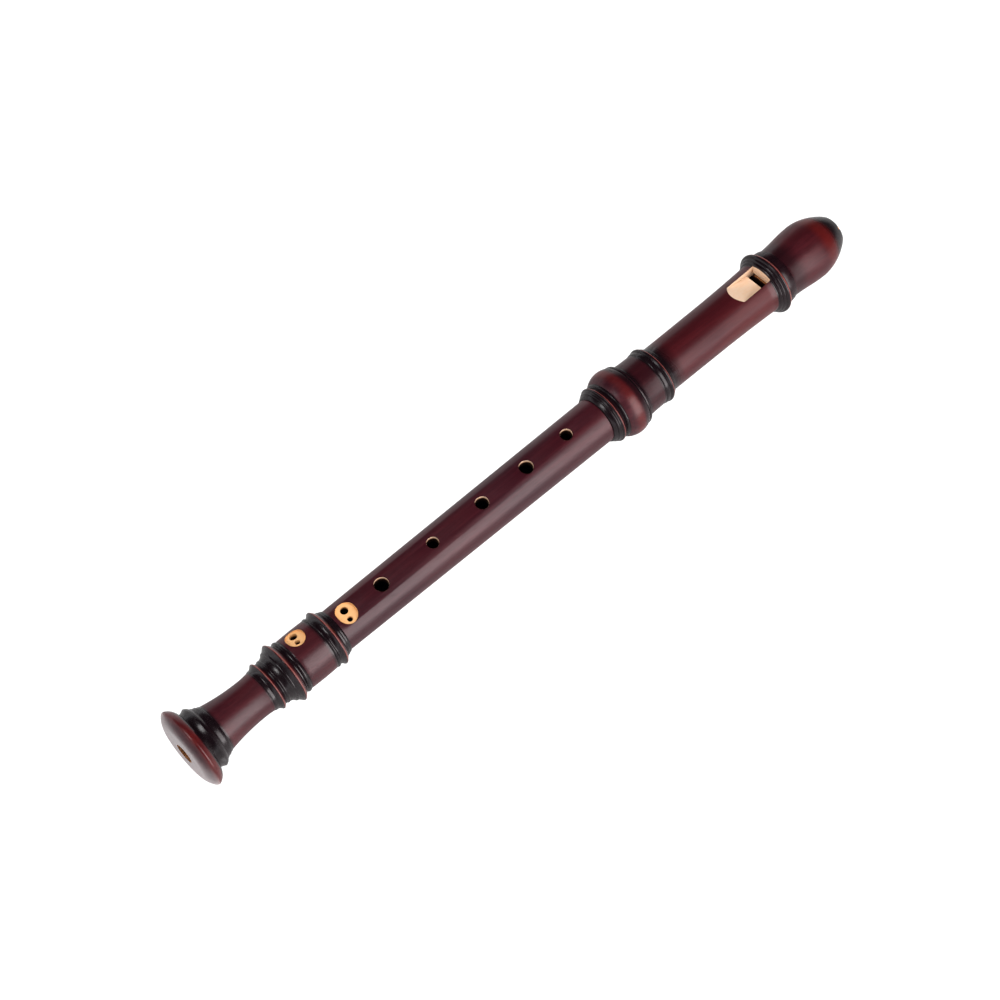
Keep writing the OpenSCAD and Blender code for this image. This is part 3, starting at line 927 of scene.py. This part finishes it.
class RECORDER_OT_corks(bpy.types.Operator):
    """Builds the two sheets of cork round the tenons"""
    bl_idname = "recorder.corks"
    bl_label = "Tenon corks"

    def execute(self, context):
        material = cork_finish("cork")
        for node, body, tenon in (("upper_tenon_cork", "upper_cork", UPPER_TENON),
                                  ("lower_tenon_cork", "lower_cork", LOWER_TENON)):
            low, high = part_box(node)
            start, end = low.x / MM, high.x / MM
            outer = tenon + CORK_PROUD
            inner = outer - CORK_THICK + CORK_GAP
            bm = bmesh.new()
            lathe(bm, [(start, inner), (start, outer - 0.2), (start + 0.07, outer - 0.06),
                       (start + 0.25, outer), (end - 0.25, outer), (end - 0.07, outer - 0.06),
                       (end, outer - 0.2), (end, inner)])
            finished(node + "_sheet", bm, [material], body, node)
        return {"FINISHED"}


class RECORDER_OT_stage(bpy.types.Operator):
    """Sets the pale floor, the soft light and the camera"""
    bl_idname = "recorder.stage"
    bl_label = "Stage"

    def execute(self, context):
        scene, sizes = context.scene, context.scene.recorder_sizes
        low, high = cad_box
        bm = bmesh.new()
        bmesh.ops.create_grid(bm, x_segments=1, y_segments=1, size=FLOOR_REACH,
                              matrix=Matrix.Translation((FLOOR_MIDDLE, 0, low.z - FLOOR_GAP)))
        # the floor and the studio look white, but the recorder reflects them dimmer and softer
        finish = Finish("pale_floor")
        matt = finish.node("BsdfPrincipled", inputs={
            "Base Color": (0.45, 0.45, 0.45, 1.0), "Roughness": 0.9,
            "Emission Color": (1.0, 1.0, 1.0, 1.0), "Emission Strength": 0.3})
        white = finish.node("Emission", inputs={"Color": (1.0, 1.0, 1.0, 1.0), "Strength": 1.05})
        seen = finish.node("LightPath", output="Is Camera Ray")
        finish.node("OutputMaterial", inputs={0: finish.node("MixShader", inputs={
            0: seen, 1: matt, 2: white})})
        floor = placed("floor", mesh_from("floor", bm, [finish.material]))

        world = bpy.data.worlds.new("studio")
        walls = Finish("studio", world)
        towards = walls.node("TexCoord", output="Generated")
        past_beak, height = (walls.node("SeparateXYZ", inputs={0: towards}, output=i)
                             for i in (0, 2))
        # the studio glows low down, all round but beyond the beak, where the tip reflects the dark
        glow = (walls.step(height, 0.0, 0.34, 1.6, 0.03)
                * walls.step(past_beak, 0.55, 0.85, 1.0, 0.08))
        dim = walls.node("Background", inputs={0: (0.95, 0.97, 1.0, 1.0), 1: glow})
        bright = walls.node("Background", inputs={0: (1.0, 1.0, 1.0, 1.0), 1: 1.0})
        seen = walls.node("LightPath", output="Is Camera Ray")
        walls.node("OutputWorld", inputs={0: walls.node("MixShader", inputs={
            0: seen, 1: dim, 2: bright})})
        scene.world = world
        scene.view_settings.view_transform = "Standard"
        scene.view_settings.look = "Medium High Contrast"

        middle = Vector(((low.x + high.x) / 2, 0, 0))
        side = softbox("side_softbox", middle + Vector((0.15, 0, 0)), tilt=60, distance=0.75,
                       size=(0.58, 0.80), power=7.0)
        side.data.color = (1.0, 0.95, 0.95)
        softbox("end_softbox", Vector((-0.40, 0.14, 0.55)), tilt=-14, distance=0,
                size=(0.26, 0.26), power=1.6, lean=47)
        card = softbox("bell_card", Vector((-0.012, 0, 0)), tilt=180,
                       distance=-low.z - FLOOR_GAP, size=(0.030, 0.070), power=0.007)
        card.visible_camera = False
        fill = softbox("top_fill", middle, tilt=-20, distance=1.0, size=(0.6, 0.6), power=4.5)
        fill.visible_glossy = False

        up = Vector((0, -sin(CAMERA_TILT), cos(CAMERA_TILT)))
        along = Vector((cos(CAMERA_AIM), 0, 0)) + sin(CAMERA_AIM) * up
        aside = Vector((0, -cos(CAMERA_TILT), -sin(CAMERA_TILT)))
        ahead = Vector((sin(CAMERA_AIM), 0, 0)) - cos(CAMERA_AIM) * up
        right = cos(CAMERA_ROLL) * along + sin(CAMERA_ROLL) * aside
        top = sin(CAMERA_ROLL) * along - cos(CAMERA_ROLL) * aside
        place = (Vector((CAMERA_ALONG, 0, 0)) + sizes.camera_distance * up
                 + CAMERA_ASIDE * aside)
        data = bpy.data.cameras.new("camera")
        data.lens, data.sensor_width = sizes.lens, 36.0
        camera = placed("camera", data)
        camera.matrix_world = Matrix.Translation(place) @ Matrix(
            (right, top, -ahead)).transposed().to_4x4()
        scene.camera = camera
        return {"FINISHED"}


def softbox(name, middle, tilt, distance, size, power, lean=0.0):
    """A rectangular light, long along the recorder, tilted from straight above towards -Y.

    lean turns it to face further along the recorder.
    """
    lamp = bpy.data.lights.new(name, "AREA")
    lamp.shape, lamp.size, lamp.size_y, lamp.energy = "RECTANGLE", size[0], size[1], power
    holder = placed(name, lamp)
    angle = radians(tilt)
    away = Vector((0, -sin(angle), cos(angle)))
    holder.matrix_world = Matrix.Translation(middle + away * distance) @ Matrix.Rotation(
        angle, 4, "X") @ Matrix.Rotation(-radians(lean), 4, "Y")
    return holder


class RECORDER_PT_panel(bpy.types.Panel):
    """Lists the steps that build the recorder"""
    bl_label = "Soprano Recorder"
    bl_idname = "RECORDER_PT_panel"
    bl_space_type = "VIEW_3D"
    bl_region_type = "UI"
    bl_category = "Recorder"

    def draw(self, context):
        layout = self.layout
        for owner in (context.scene.recorder_sizes, context.scene.recorder_colours):
            box = layout.box()
            for key in owner.__annotations__:
                box.prop(owner, key)
        for step in STEPS:
            layout.operator(step.bl_idname)


STEPS = (RECORDER_OT_stage, RECORDER_OT_foot_joint, RECORDER_OT_middle_joint,
         RECORDER_OT_head_joint, RECORDER_OT_block, RECORDER_OT_corks)
CLASSES = (RecorderSizes, RecorderColours, *STEPS, RECORDER_PT_panel)


def register():
    """Makes the operators, the panel and their values known to Blender."""
    for cls in CLASSES:
        bpy.utils.register_class(cls)
    bpy.types.Scene.recorder_sizes = bpy.props.PointerProperty(type=RecorderSizes)
    bpy.types.Scene.recorder_colours = bpy.props.PointerProperty(type=RecorderColours)


def unregister():
    """Takes away what register added."""
    del bpy.types.Scene.recorder_colours
    del bpy.types.Scene.recorder_sizes
    for cls in reversed(CLASSES):
        bpy.utils.unregister_class(cls)


def main():
    """Builds the recorder."""
    register()
    bpy.ops.recorder.stage()
    bpy.ops.recorder.foot_joint()
    bpy.ops.recorder.middle_joint()
    bpy.ops.recorder.head_joint()
    bpy.ops.recorder.block()
    bpy.ops.recorder.corks()


if __name__ == "__main__":
    main()
